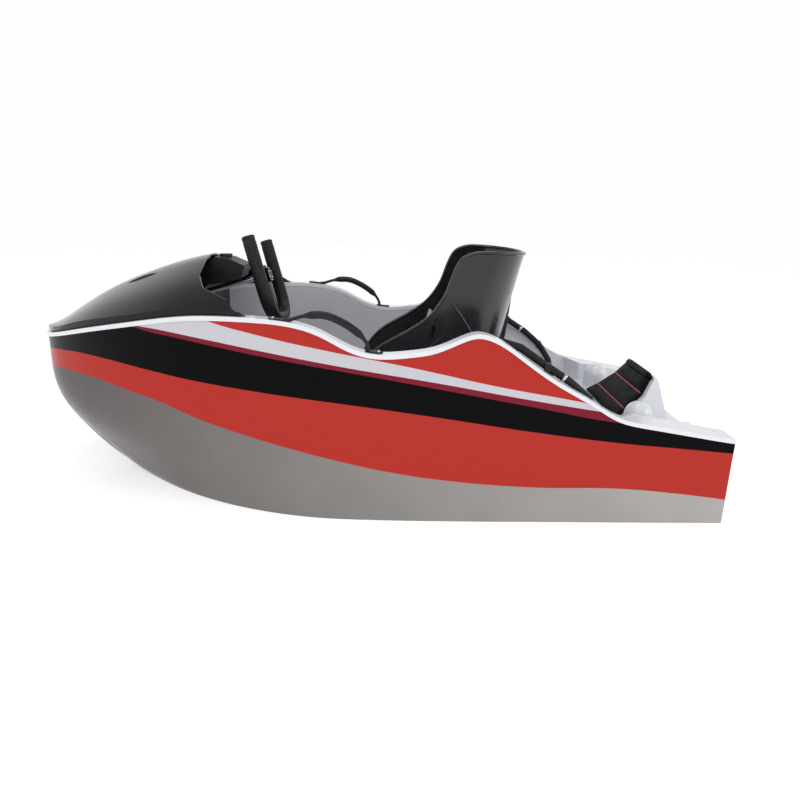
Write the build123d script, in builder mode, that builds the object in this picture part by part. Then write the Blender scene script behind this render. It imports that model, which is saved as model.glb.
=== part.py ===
from build123d import *
import math
import os

os.makedirs("parts", exist_ok=True)

# Single-seat sit-in jet boat: a car-like steering wheel and bucket seat in an
# open cockpit, a moulded bow hood, and a small jet drive between two stern pods.
# Frame: +X to the bow, +Y to port, +Z up, origin under the middle of the flat bottom.

# ------------------------------------------------------------ driving sizes (mm)
boat_length = 2500.0
boat_beam = 1090.0          # over the gunwale
rail_overhang = 5.0         # gunwale past the topsides
rail_thickness = 15.0
side_wall = 33.0            # cored topside, outside face to liner
liner_wall = 12.0
bottom_height = 58.0        # under the cockpit liner
stern_tuck = 20.0           # side runs in this much by the transom

cockpit_fore = 800.0
cockpit_aft = -590.0
rear_deck_height = 290.0    # walking surface behind the seat
transom_inset = 55.0        # pods reach this far past the transom
pod_width = 150.0
pod_start = -850.0          # rails begin to widen into the pods
pod_full = -930.0

# Hull lines, one row a waterline: height, fall-back of the bow from the stem
# head, tuck-in of the side, fullness of the bow (the power of its curve)
hull_lines = [
    (0.0, 320.0, 40.0, 0.83),
    (60.0, 217.0, 36.0, 0.94),
    (150.0, 123.0, 31.0, 0.90),
    (280.0, 30.0, 22.0, 0.72),
    (420.0, 0.0, 10.0, 0.66),
    (570.0, 0.0, 3.0, 0.63),
    (730.0, 0.0, 0.0, 0.62),
]

bow_stations = (0.15, 0.3, 0.5, 0.7, 0.85, 0.95, 0.99)

# Sheer, as share of the half length from midship and height of the gunwale top
sheer_line = [
    (1.05, 543.0), (1.0, 553.0), (0.8, 612.0), (0.6, 664.0), (0.448, 693.0), (0.304, 698.0),
    (0.192, 690.0), (0.104, 660.0), (0.032, 614.0), (-0.032, 592.0), (-0.12, 596.0),
    (-0.192, 612.0), (-0.256, 646.0), (-0.30, 662.0), (-0.344, 648.0), (-0.416, 590.0),
    (-0.512, 508.0), (-0.608, 440.0), (-0.68, 388.0), (-0.76, 364.0), (-0.88, 338.0),
    (-1.0, 313.0), (-1.05, 304.0),
]

hood_wall = 6.0
hood_seal_height = 5.0
hood_flange = 7.0
hood_side_inset = 12.0      # hood flange in from the gunwale's edge

wheel_tilt = 16.0           # top of the wheel leans to the bow
wheel_turn = 6.5            # turned to starboard as parked
wheel_half_width = 150.0
wheel_rim = 42.0            # padded grip, across
column_radius = 11.0
shaft_clearance = 0.05      # radial, shafts and pins in their bores
moving_gap = 5.0

seat_wall = 9.0
seat_half_width = 212.0
pedestal_half_width = 150.0

handle_offset = 25.0        # handle line in from the gunwale's edge
handle_tube = 26.0

jet_height = 110.0          # jet centreline over the bottom
pump_bore = 62.0            # radius
pump_wall = 10.0
tunnel_half_width = 95.0
tunnel_fore = 235.0         # tunnel wall forward of the transom

bow_x = boat_length / 2
stern_x = -boat_length / 2
transom_x = stern_x + transom_inset
hull_half_beam = boat_beam / 2 - rail_overhang
top_of_lines = hull_lines[-1][0]
inner_wall = side_wall + liner_wall
floor_height = bottom_height + liner_wall
rear_deck_bottom = rear_deck_height - liner_wall
far = boat_beam             # longer than any cut needs


# ------------------------------------------------------------ shared shapes
def half_breadth(share, line, grow):
    """Half breadth of one waterline at a share of its bow length."""
    height, fall_back, tuck, fullness = line
    return (hull_half_beam - tuck + grow) * (1 - share**2) ** fullness


def hull_body(grow=0.0):
    """Solid inside the topsides and bottom, all its sides moved out by grow."""
    with BuildPart(mode=Mode.PRIVATE) as body:
        for line in hull_lines:
            height, fall_back, tuck, fullness = line
            nose = bow_x - rail_overhang - fall_back + grow
            side = hull_half_beam - tuck + grow
            run = [(stern_x, side - stern_tuck), (stern_x / 2, side - stern_tuck / 4), (0, side)]
            run += [(nose * share, half_breadth(share, line, grow)) for share in bow_stations]
            run += [(nose, 0)]
            with BuildSketch(Plane.XY.offset(height)):
                with BuildLine():
                    port = Spline(*run, tangents=((1, 0.03), (0, -1)))
                    mirror(port, about=Plane.XZ)
                    Line(port @ 0, (stern_x, stern_tuck - side))
                make_face()
        loft()
    return body.part


def sheer_spline(drop):
    return Spline(*[(share * boat_length / 2, height - drop) for share, height in sheer_line])


def under_sheer(drop=0.0):
    """Everything below the gunwale top, lowered by drop."""
    with BuildPart(mode=Mode.PRIVATE) as region:
        with BuildSketch(Plane.XZ):
            with BuildLine():
                crest = sheer_spline(drop)
                Polyline(crest @ 1, ((crest @ 1).X, -far), ((crest @ 0).X, -far), crest @ 0)
            make_face()
        extrude(amount=far, both=True)
    return region.part


sheer_curve = sheer_spline(0).edge()


def sheer_height(x):
    """Height of the gunwale top at station x."""
    low, high = 0.0, 1.0
    for step in range(40):
        middle = (low + high) / 2
        if (sheer_curve @ middle).X > x:
            low = middle
        else:
            high = middle
    return (sheer_curve @ low).Y


def rail_half_beam(x):
    """Half beam at the topsides' head, station x."""
    top = hull_lines[-1]
    nose = bow_x - rail_overhang
    if x < 0:
        return hull_half_beam - stern_tuck * (x / stern_x) ** 2
    return half_breadth(x / nose, top, 0)


def block(x_range, y_range, z_range):
    """Solid box between two corners."""
    low = Vector(min(x_range), min(y_range), min(z_range))
    high = Vector(max(x_range), max(y_range), max(z_range))
    middle = (low + high) / 2
    size = high - low
    return Pos(middle.X, middle.Y, middle.Z) * Box(size.X, size.Y, size.Z, mode=Mode.PRIVATE)


def side_prism(points, half_width, middle=0.0):
    """A side-view outline (X, Z) carried across the boat."""
    with BuildPart(mode=Mode.PRIVATE) as prism:
        with BuildSketch(Plane.XZ.offset(-middle)):
            with BuildLine():
                Polyline(*points, close=True)
            make_face()
        extrude(amount=half_width, both=True)
    return prism.part


def cockpit_space(margin):
    """The cockpit well; margin takes in the liner's own thickness."""
    return hull_body(margin - inner_wall) & block(
        (cockpit_aft - margin, cockpit_fore + margin), (-far, far), (floor_height - margin, top_of_lines))


def well_plan(margin, bottom):
    """Plan of the rear well between the rails and the stern pods, as a tall solid."""
    inner = boat_beam / 2 - pod_width + margin
    with BuildPart(mode=Mode.PRIVATE) as plan:
        with BuildSketch(Plane.XY.offset(bottom)) as outline:
            with BuildLine():
                FilletPolyline(
                    (cockpit_aft - liner_wall, far), (pod_start, far), (pod_start, boat_beam / 2 - side_wall),
                    (pod_full, inner), (stern_x - far, inner), radius=margin + 12)
                Line((stern_x - far, inner), (stern_x - far, 0))
                Line((stern_x - far, 0), (cockpit_aft - liner_wall, 0))
                Line((cockpit_aft - liner_wall, 0), (cockpit_aft - liner_wall, far))
            make_face()
            mirror(about=Plane.XZ)
        extrude(amount=top_of_lines - bottom)
    return plan.part


def rear_space(margin, bottom):
    """The rear well above a floor at the given height."""
    return hull_body(margin - inner_wall) & well_plan(margin, bottom)


def keep(piece, label):
    """Name a finished piece and write it."""
    piece.part.label = label
    export_step(piece.part, f"parts/{label}.step")


# ------------------------------------------------------------ hull
jet_tunnel_top = jet_height + 95
engine_bay_fore = cockpit_aft - liner_wall - 12
engine_bay_aft = transom_x + tunnel_fore + 20
engine_bay_half_width = 320.0

liner_void = cockpit_space(0)
liner_outside = cockpit_space(liner_wall)
well_void = rear_space(0, rear_deck_height)
well_outside = rear_space(liner_wall, rear_deck_bottom)
open_top = hull_body(-inner_wall) & block((stern_x - 1, cockpit_fore), (-far, far), (rear_deck_height, top_of_lines))

notch_half_width = boat_beam / 2 - pod_width
with BuildPart() as stern_notch:
    with BuildSketch(Plane.XY.offset(-1)):
        with Locations((stern_x + transom_inset / 2 - 50, 0)):
            RectangleRounded(transom_inset + 100, 2 * notch_half_width, 40)
    extrude(amount=top_of_lines)

with BuildPart() as jet_tunnel:
    with BuildSketch(Plane.YZ.offset(transom_x + tunnel_fore)):
        with BuildLine():
            Polyline((-tunnel_half_width, jet_height), (-tunnel_half_width, -1), (tunnel_half_width, -1),
                     (tunnel_half_width, jet_height))
            ThreePointArc((tunnel_half_width, jet_height), (0, jet_tunnel_top), (-tunnel_half_width, jet_height))
        make_face()
    extrude(amount=-tunnel_fore - transom_inset - 1)

intake_length = 230.0
intake_half_width = 58.0
intake_aft = transom_x + tunnel_fore + 30
intake_depth = 46.0
with BuildPart() as intake_recess:
    with BuildSketch(Plane.XZ):
        with BuildLine():
            Polyline((intake_aft, -1), (intake_aft, intake_depth), (intake_aft + intake_length, 4),
                     (intake_aft + intake_length, -1), close=True)
        make_face()
    extrude(amount=intake_half_width, both=True)

# The transom's top edge falls away under the middle of the rear hump
hump_half_width = 234.0
slope_top = 31.0            # forward of the transom, at the deck
slope_drop = 80.0
transom_slope = side_prism(
    [(transom_x + slope_top, rear_deck_height), (transom_x + slope_top - 12, rear_deck_height + 31),
     (stern_x - 10, rear_deck_height + 31), (stern_x - 10, rear_deck_height - slope_drop),
     (transom_x, rear_deck_height - slope_drop)], hump_half_width)

shaft_radius = 10.0
with BuildPart() as hull:
    add(hull_body() & under_sheer(rail_thickness))
    add(liner_outside, mode=Mode.SUBTRACT)
    add(well_outside, mode=Mode.SUBTRACT)
    add(block((engine_bay_aft, engine_bay_fore), (-engine_bay_half_width, engine_bay_half_width),
              (bottom_height, rear_deck_height)), mode=Mode.SUBTRACT)
    add(stern_notch.part, mode=Mode.SUBTRACT)
    add(jet_tunnel.part, mode=Mode.SUBTRACT)
    add(intake_recess.part, mode=Mode.SUBTRACT)
    add(transom_slope, mode=Mode.SUBTRACT)
    with Locations(Pos(transom_x + tunnel_fore, 0, jet_height) * Rot(0, 90, 0)):
        Cylinder(shaft_radius + shaft_clearance, 30, mode=Mode.SUBTRACT)
keep(hull, "hull")

# ------------------------------------------------------------ gunwale and liner
cockpit_opening = hull_body(-inner_wall) & block(
    (cockpit_aft - liner_wall - 1, cockpit_fore), (-far, far), (rear_deck_height, top_of_lines))
below_rail = under_sheer(rail_thickness)

with BuildPart() as gunwale:
    add(hull_body(rail_overhang) & under_sheer())
    add(below_rail, mode=Mode.SUBTRACT)
    add(cockpit_opening, mode=Mode.SUBTRACT)
    add(well_void, mode=Mode.SUBTRACT)
    add(stern_notch.part, mode=Mode.SUBTRACT)
keep(gunwale, "gunwale")

with BuildPart() as cockpit_liner:
    add(liner_outside & below_rail)
    add(liner_void, mode=Mode.SUBTRACT)
    add(open_top, mode=Mode.SUBTRACT)
keep(cockpit_liner, "cockpit_liner")

# ------------------------------------------------------------ rear deck
# A white moulding behind the seat: floor with a hatch, two round domes and the
# hump that carries the pad.
hatch_fore = engine_bay_fore - 26
hatch_aft = -876.0
hatch_half_width = 215.0
hatch_lap = 14.0
dome_radius = 50.0
dome_middle = -983.0
dome_spread = 300.0
dome_rise = 95.0
pad_thickness = 20.0

# side view of the pad's outer face: station, height and half width of each seam
pad_seams = [(-914.0, 298.0, 224.0), (-960.0, 332.0, 202.0), (-1022.0, 385.0, 180.0), (-1058.0, 441.0, 150.0)]
hump_crest = [(-1073.0, 444.0), (-1080.0, 443.0), (-1090.0, 432.0), (-1096.0, 406.0)]
hump_foot = -1116.0         # aft face meets the deck


def pad_face(depth):
    """Side-view points of the pad's face, moved in by depth."""
    points = []
    for index, (x, z, half) in enumerate(pad_seams):
        near = pad_seams[max(index - 1, 0)]
        after = pad_seams[min(index + 1, len(pad_seams) - 1)]
        run, rise = after[0] - near[0], after[1] - near[1]
        length = math.hypot(run, rise)
        points.append((x - depth * rise / length, z + depth * run / length))
    return points


seat_gap = 0.3
hump_front = pad_face(pad_thickness + seat_gap)
hump_base = (hump_front[0][0], rear_deck_bottom)
hump_outline = [hump_base] + hump_front[1:] + hump_crest + [
    (hump_foot, rear_deck_height), (hump_foot, rear_deck_bottom)]
hump_top_half = 160.0
with BuildPart() as rear_hump:
    with BuildSketch(Plane.YZ.offset(stern_x)):
        Polygon((-hump_half_width, rear_deck_bottom), (hump_half_width, rear_deck_bottom),
                (hump_half_width, rear_deck_height + 8), (hump_top_half, hump_crest[0][1]),
                (-hump_top_half, hump_crest[0][1]), (-hump_half_width, rear_deck_height + 8), align=None)
    extrude(amount=boat_length / 2)
    add(side_prism(hump_outline, hump_half_width), mode=Mode.INTERSECT)

with BuildPart() as rear_deck:
    add(well_outside & below_rail)
    add(well_void, mode=Mode.SUBTRACT)
    add(block((stern_x - 10, transom_x), (-far, far), (0, top_of_lines)), mode=Mode.SUBTRACT)
    add(stern_notch.part, mode=Mode.SUBTRACT)
    add(block((hatch_aft, hatch_fore), (-hatch_half_width, hatch_half_width), (0, top_of_lines)),
        mode=Mode.SUBTRACT)
    add(rear_hump.part)
    with Locations((dome_middle, dome_spread, rear_deck_height), (dome_middle, -dome_spread, rear_deck_height)):
        Cylinder(dome_radius, dome_rise - dome_radius, align=(Align.CENTER, Align.CENTER, Align.MIN))
    with Locations(*[(dome_middle, side * dome_spread, rear_deck_height + dome_rise - dome_radius)
                     for side in (1, -1)]):
        Sphere(dome_radius)
    add(transom_slope, mode=Mode.SUBTRACT)
keep(rear_deck, "rear_deck")

# The pad: three sewn panels lying on the hump's front
with BuildPart() as rear_pad:
    with BuildSketch(Plane.XZ):
        Polygon(*(pad_face(0) + pad_face(pad_thickness)[::-1]), align=None)
    extrude(amount=pad_seams[0][2], both=True)
    with BuildSketch(Plane.YZ.offset(stern_x)):
        Polygon(*([(half, z + 2) for x, z, half in pad_seams] + [(-half, z + 2) for x, z, half in pad_seams[::-1]]
                  + [(-pad_seams[0][2], 200), (pad_seams[0][2], 200)]), align=None)
    extrude(amount=boat_length / 2, mode=Mode.INTERSECT)
    add(block((stern_x, 0), (-far, far), (0, rear_deck_height + seat_gap)), mode=Mode.SUBTRACT)
keep(rear_pad, "rear_pad")

# Engine hatch: a lapped lid, hinged along its aft edge
hinge_pin = 4.0
hinge_x = hatch_aft - hatch_lap - 8
hinge_z = rear_deck_height + 9
knuckle_radius = 8.0
knuckle_length = 60.0
knuckle_spread = 130.0
ear_thickness = 8.0
ear_gap = 0.5
ear_swing = 14.0            # lid notched this far round the ears
lid_bottom = rear_deck_height + seat_gap
with BuildPart() as engine_hatch:
    with BuildSketch(Plane.XY.offset(lid_bottom)):
        with Locations(((hatch_fore + hatch_aft) / 2, 0)):
            RectangleRounded(hatch_fore - hatch_aft + 2 * hatch_lap, 2 * (hatch_half_width + hatch_lap), 20)
    extrude(amount=8)
    with BuildSketch(Plane.XY.offset(lid_bottom + 8)):
        with Locations(((hatch_fore + hatch_aft) / 2, 0)):
            RectangleRounded(hatch_fore - hatch_aft - 40, 2 * hatch_half_width - 40, 20)
    extrude(amount=7, taper=30)
    for side in (1, -1):
        for end in (1, -1):
            near = side * knuckle_spread + end * knuckle_length / 2
            add(block((hinge_x, hinge_x + ear_swing), (near, near + end * (ear_thickness + 4)), (0, top_of_lines)),
                mode=Mode.SUBTRACT)
        with Locations(Pos(hinge_x, side * knuckle_spread, hinge_z) * Rot(90, 0, 0)):
            Cylinder(knuckle_radius, knuckle_length)
        add(block((hinge_x, hatch_aft - hatch_lap + 5),
                  (side * knuckle_spread - knuckle_length / 2, side * knuckle_spread + knuckle_length / 2),
                  (lid_bottom + 1, lid_bottom + 8)))
        with Locations(Pos(hinge_x, side * knuckle_spread, hinge_z) * Rot(90, 0, 0)):
            Cylinder(hinge_pin + shaft_clearance, knuckle_length + 2, mode=Mode.SUBTRACT)
keep(engine_hatch, "engine_hatch")

with BuildPart() as hatch_hinges:
    for side in (1, -1):
        with Locations(Pos(hinge_x, side * knuckle_spread, hinge_z) * Rot(90, 0, 0)):
            Cylinder(hinge_pin, knuckle_length + 2 * (ear_gap + ear_thickness))
        for end in (1, -1):
            middle = side * knuckle_spread + end * (knuckle_length / 2 + ear_gap + ear_thickness / 2)
            add(block((hinge_x - 7, hinge_x + 7), (middle - ear_thickness / 2, middle + ear_thickness / 2),
                      (rear_deck_height, hinge_z + 7)))
keep(hatch_hinges, "hatch_hinges")

latch_width = 44.0
with BuildPart() as hatch_latch:
    add(block((hatch_fore - 14, hatch_fore + 8), (-latch_width / 2, latch_width / 2),
              (lid_bottom + 8, lid_bottom + 13)))
    fillet(hatch_latch.edges().filter_by(Axis.Z), 5)
keep(hatch_latch, "hatch_latch")

cap_radius = 34.0
with BuildPart() as fuel_cap:
    with Locations((-760, -340, rear_deck_height)):
        Cylinder(cap_radius + 8, 6, align=(Align.CENTER, Align.CENTER, Align.MIN))
        Cylinder(cap_radius, 24, align=(Align.CENTER, Align.CENTER, Align.MIN))
        Cylinder(8, 30, align=(Align.CENTER, Align.CENTER, Align.MIN))
keep(fuel_cap, "fuel_cap")

engine_length = 270.0
engine_half_width = 150.0
engine_top = rear_deck_bottom - 22
with BuildPart() as engine_block:
    add(block((engine_bay_aft + 20, engine_bay_aft + 20 + engine_length),
              (-engine_half_width, engine_half_width), (bottom_height, engine_top)))
    fillet(engine_block.edges().filter_by(Axis.Z), 12)
keep(engine_block, "engine_block")

# ------------------------------------------------------------ bow hood
# Rows a station: distance behind the stem head, height of the hood's ridge
hood_ridge = [(-12.0, 572.0), (70.0, 602.0), (190.0, 678.0), (375.0, 771.0), (550.0, 832.0), (659.0, 857.0),
              (770.0, 866.0), (900.0, 866.0)]
hood_nose_half = 120.0
hood_skirt = 20.0
hood_shoulder = (0.70, 0.44)    # share of the half width, share of the rise
hood_crown = (0.36, 0.79)
rail_depth = 150.0              # hood blanks reach this far under the sheer


def hood_blank(inset):
    """Solid under the hood's skin, moved in by inset, before its edges are cut."""
    with BuildPart(mode=Mode.PRIVATE) as dome:
        for back, ridge in hood_ridge:
            x = bow_x - back
            base = sheer_height(min(x, bow_x)) + hood_skirt
            half = max(rail_half_beam(min(x, bow_x - rail_overhang)), hood_nose_half) - inset
            rise = ridge - inset - base
            with BuildSketch(Plane.YZ.offset(x)):
                with BuildLine():
                    skin = Spline(
                        (-half, base), (-half * hood_shoulder[0], base + rise * hood_shoulder[1]),
                        (-half * hood_crown[0], base + rise * hood_crown[1]), (0, base + rise),
                        (half * hood_crown[0], base + rise * hood_crown[1]),
                        (half * hood_shoulder[0], base + rise * hood_shoulder[1]), (half, base))
                    Polyline(skin @ 1, (half, base - rail_depth), (-half, base - rail_depth), skin @ 0)
                make_face()
        loft()
    return dome.part


def plan_prism(grow):
    """The boat's plan at the topsides' head, grown and carried straight up."""
    nose = bow_x - rail_overhang + grow
    top = hull_lines[-1]
    run = [(0, hull_half_beam + grow)] + [(nose * share, half_breadth(share, top, grow)) for share in bow_stations]
    with BuildPart(mode=Mode.PRIVATE) as prism:
        with BuildSketch(Plane.XY.offset(sheer_line[0][1] - rail_depth)):
            with BuildLine():
                port = Spline(*run, (nose, 0), tangents=((1, 0), (0, -1)))
                mirror(port, about=Plane.XZ)
                Line((0, hull_half_beam + grow), (0, -hull_half_beam - grow))
            make_face()
        extrude(amount=boat_beam)
    return prism.part


hood_inset = hood_side_inset - rail_overhang
hood_rear = [(-659.0, 900.0), (-662.0, 850.0), (-675.0, 800.0), (-712.0, 770.0), (-760.0, 757.0),
             (-806.0, 745.0), (-846.0, 715.0), (-870.0, 702.0), (-882.0, 697.0)]
behind_hood = side_prism(
    [(bow_x + back, z) for back, z in hood_rear] + [(bow_x + hood_rear[-1][0], 300), (0, 300), (0, 900)], far)
above_seal = under_sheer(-hood_seal_height)
hood_plan = plan_prism(-hood_inset)
hood_inner_plan = plan_prism(-hood_inset - hood_wall)
hood_outside = hood_blank(0) & hood_plan
hood_inside = hood_blank(hood_wall) & hood_inner_plan
flange_width = 22.0

with BuildPart() as hood_lip:
    add(hood_plan & under_sheer(-hood_seal_height - hood_flange))
    add(above_seal, mode=Mode.SUBTRACT)
    add(plan_prism(-hood_inset - flange_width), mode=Mode.SUBTRACT)

# Leaf-shaped air intakes either side of the ridge
intake_long = 118.0
intake_wide = 44.0
intake_back = 420.0
intake_out = 100.0
grille_inset = 3.0
with BuildPart() as intake_leaves:
    for side in (1, -1):
        with BuildSketch(Plane.XY.offset(500)):
            with BuildLine():
                fore = (bow_x - intake_back + intake_long / 2, side * (intake_out - 10))
                aft = (bow_x - intake_back - intake_long / 2, side * (intake_out + 14))
                ThreePointArc(fore, (bow_x - intake_back, side * (intake_out + intake_wide / 2)), aft)
                ThreePointArc(fore, (bow_x - intake_back + 8, side * (intake_out - intake_wide / 2)), aft)
            make_face()
        extrude(amount=400)

with BuildPart() as hood:
    add(hood_outside - hood_inside)
    add(above_seal, mode=Mode.SUBTRACT)
    add(hood_lip.part)
    add(behind_hood, mode=Mode.SUBTRACT)
    add(intake_leaves.part, mode=Mode.SUBTRACT)
keep(hood, "hood")

grille_outside = hood_blank(grille_inset)
grille_inside = hood_blank(hood_wall)
with BuildPart() as hood_intakes:
    for leaf in intake_leaves.solids():
        add((leaf - grille_inside) & grille_outside)
keep(hood_intakes, "hood_intakes")

with BuildPart() as hood_seal:
    add(plan_prism(-hood_inset - 8) & above_seal)
    add(under_sheer(), mode=Mode.SUBTRACT)
    add(plan_prism(-hood_inset - flange_width + 2), mode=Mode.SUBTRACT)
    add(behind_hood, mode=Mode.SUBTRACT)
keep(hood_seal, "hood_seal")

# ------------------------------------------------------------ dash and steering
wheel_x = 385.0
wheel_z = 780.0
lean = math.radians(wheel_tilt)
turned = math.radians(wheel_turn)
across = Vector(0, -1, 0) * math.cos(turned) - Vector(math.sin(lean), 0, math.cos(lean)) * math.sin(turned)
wheel_plane = Plane(origin=(wheel_x, 0, wheel_z), x_dir=across, z_dir=(-math.cos(lean), 0, math.sin(lean)))

dash_x = bow_x - 618.0
dash_thickness = 10.0
dash_bottom = 575.0
column_end = 274.0          # along the column from the wheel, just through the panel
bearing_radius = 20.0
bearing_length = 30.0
dash_top = 745.0
with BuildPart() as dash_panel:
    add(block((dash_x, dash_x + dash_thickness), (-far, far), (dash_bottom, dash_top)))
    add(hull_body(-inner_wall), mode=Mode.INTERSECT)
    add(hood_blank(hood_wall + seat_gap), mode=Mode.INTERSECT)
    with BuildSketch(Plane.YZ.offset(dash_x)):
        with Locations((0, dash_bottom)):
            Ellipse(300, 70)
    extrude(amount=dash_thickness, mode=Mode.SUBTRACT)
    with BuildSketch(wheel_plane.offset(-column_end)):
        Circle(bearing_radius)
    extrude(amount=bearing_length)
    with BuildSketch(wheel_plane.offset(-column_end)):
        Circle(column_radius + shaft_clearance)
    extrude(amount=bearing_length, mode=Mode.SUBTRACT)
keep(dash_panel, "dash_panel")

console_half_width = 62.0
console_outline = [(474.0, 772.0), (461.0, 819.0), (519.0, 844.0), (568.0, 850.0), (584.0, 838.0),
                   (dash_x + dash_thickness, 800.0), (dash_x + dash_thickness, dash_top), (dash_x, dash_top),
                   (580.0, 748.0)]
with BuildPart() as dash_console:
    add(side_prism(console_outline, console_half_width))
keep(dash_console, "dash_console")

gauge_radius = 24.0
gauge_x = 541.0
with BuildPart() as dash_gauge:
    with BuildSketch(Plane.XY.offset(843)):
        with Locations((gauge_x, 0)):
            Circle(gauge_radius)
    extrude(amount=14)
    add(side_prism(console_outline, console_half_width), mode=Mode.SUBTRACT)
keep(dash_gauge, "dash_gauge")

hub_radius = 38.0
hub_thickness = 10.0
spoke_width = 40.0
spoke_thickness = 7.0
with BuildPart() as steering_column:
    with BuildSketch(wheel_plane.offset(-column_end)):
        Circle(column_radius)
    extrude(amount=column_end - spoke_thickness)
    with BuildSketch(wheel_plane.offset(-spoke_thickness - 26)):
        Circle(hub_radius - 6)
    extrude(amount=26, taper=8)
keep(steering_column, "steering_column")

grip_top = 141.0
grip_bottom = -165.0
grip_corner = 95.0
wheel_out = wheel_half_width
with BuildPart() as wheel_grip:
    with BuildLine(wheel_plane) as grip_line:
        FilletPolyline((-wheel_out, grip_top), (-wheel_out, grip_bottom), (wheel_out, grip_bottom),
                       (wheel_out, grip_top), radius=grip_corner)
    with BuildSketch(Plane(origin=grip_line.line @ 0, z_dir=grip_line.line % 0)):
        Circle(wheel_rim / 2)
    sweep()
keep(wheel_grip, "wheel_grip")

with BuildPart() as wheel_spokes:
    with BuildSketch(wheel_plane.offset(-spoke_thickness)):
        Circle(hub_radius)
        Rectangle(2 * wheel_out, spoke_width)
        with Locations((0, grip_bottom / 2)):
            Rectangle(spoke_width, -grip_bottom)
    extrude(amount=spoke_thickness)
    with BuildSketch(wheel_plane):
        RegularPolygon(hub_radius - 8, 6)
    extrude(amount=hub_thickness)
    add(wheel_grip.part, mode=Mode.SUBTRACT)
keep(wheel_spokes, "wheel_spokes")

pedal_x = 655.0
with BuildPart() as foot_board:
    add(side_prism([(pedal_x, floor_height), (pedal_x + 80, floor_height + 190), (pedal_x + 92, floor_height + 190),
                    (pedal_x + 60, floor_height)], 130))
keep(foot_board, "foot_board")

pedal_half_width = 32.0
pedal_middle = -70.0
with BuildPart() as throttle_pedal:
    add(side_prism([(pedal_x - 4, floor_height + 30), (pedal_x + 54, floor_height + 168),
                    (pedal_x + 62, floor_height + 165), (pedal_x + 13, floor_height + 48.5),
                    (pedal_x + 18, floor_height + 43.5), (pedal_x + 12, floor_height + 28.5)],
                   pedal_half_width, pedal_middle))
keep(throttle_pedal, "throttle_pedal")

# ------------------------------------------------------------ seat
pedestal_top = 310.0
with BuildPart() as seat_pedestal:
    add(block((-480, -60), (-pedestal_half_width, pedestal_half_width), (floor_height, pedestal_top)))
    fillet(seat_pedestal.edges().filter_by(Axis.Z), 30)
keep(seat_pedestal, "seat_pedestal")

# Seat levels: height, back of the shell, tuck-in of its half width
seat_levels = [(310.0, -474.0, 47.0), (420.0, -492.0, 20.0), (569.0, -515.0, 4.0), (720.0, -548.0, 0.0),
               (858.0, -582.0, 6.0), (900.0, -594.0, 12.0)]
seat_front = 45.0
seat_back_curve = 150.0     # depth of the shell's rounded back
seat_edge = [(42.0, 405.0), (8.0, 480.0), (-52.0, 546.0), (-161.0, 611.0), (-232.0, 663.0), (-284.0, 735.0),
             (-316.0, 820.0), (-342.0, 868.0), (-385.0, 890.0)]


def seat_blank(inset):
    """The seat's outer form, moved in by inset on all sides but the top."""
    with BuildPart(mode=Mode.PRIVATE) as tub:
        for height, back, tuck in seat_levels:
            half = seat_half_width - tuck - inset
            turn = back + seat_back_curve
            lift = inset if height == pedestal_top else 0
            with BuildSketch(Plane.XY.offset(height + lift)):
                with BuildLine():
                    wrap = EllipticalCenterArc((turn, 0), seat_back_curve - inset, half, start_angle=90, arc_size=180)
                    Polyline(wrap @ 1, (seat_front - inset, -half), (seat_front - inset, half), wrap @ 0)
                make_face()
        loft()
    return tub.part


with BuildPart() as seat_sides:
    with BuildSketch(Plane.XZ):
        with BuildLine():
            edge = Spline(*seat_edge)
            Polyline(edge @ 1, (-520, 888), (-600, 872), (-700, 850), (-700, 300), (seat_front + 1, 300),
                     (seat_front + 1, seat_edge[0][1]), edge @ 0)
        make_face()
    extrude(amount=far, both=True)

with BuildPart() as seat_shell:
    add(seat_blank(0) - seat_blank(seat_wall))
    add(seat_sides.part, mode=Mode.INTERSECT)
    with Locations(Pos(-242, 0, 603) * Rot(0, -15, 0)):
        Box(14, 2 * far, 50, mode=Mode.SUBTRACT)
keep(seat_shell, "seat_shell")

strut_thickness = 16.0
strut_half_width = 22.0
with BuildPart() as seat_strut:
    add(side_prism([(-470, pedestal_top), (-445, pedestal_top), (-530, 786), (-555, 786), (-532, 569),
                    (-508, 420), (-491, pedestal_top), (-491, pedestal_top - 60), (-480, pedestal_top - 60),
                    (-480, pedestal_top)], strut_half_width))
    add(seat_blank(0), mode=Mode.SUBTRACT)
keep(seat_strut, "seat_strut")

# ------------------------------------------------------------ side handles
handle_y = hull_half_beam - handle_offset
foot_thickness = 6.0
foot_half_width = 17.0
handle_feet = ((225.0, 293.0), (-72.0, -14.0))
with BuildPart() as handle:
    for low, high in handle_feet:
        add(block((low, high), (handle_y - foot_half_width, handle_y + foot_half_width), (400, 800))
            & (under_sheer(-foot_thickness) - under_sheer()))
    with BuildLine(Plane.XZ.offset(-handle_y)) as arch:
        FilletPolyline((242, sheer_height(242) + 2), (196, 702), (155, 710), (112, 709), (70, 694), (27, 669),
                       (-6, 643), (-22, 618), (-29, sheer_height(-29) + 2), radius=14)
    with BuildSketch(Plane(origin=arch.line @ 0, z_dir=arch.line % 0)):
        Circle(handle_tube / 2)
    sweep(path=arch.line)
    add(under_sheer(), mode=Mode.SUBTRACT)

with BuildPart() as grab_handle_port:
    add(handle.part)
keep(grab_handle_port, "grab_handle_port")
with BuildPart() as grab_handle_starboard:
    add(handle.part.mirror(Plane.XZ))
keep(grab_handle_starboard, "grab_handle_starboard")

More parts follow.
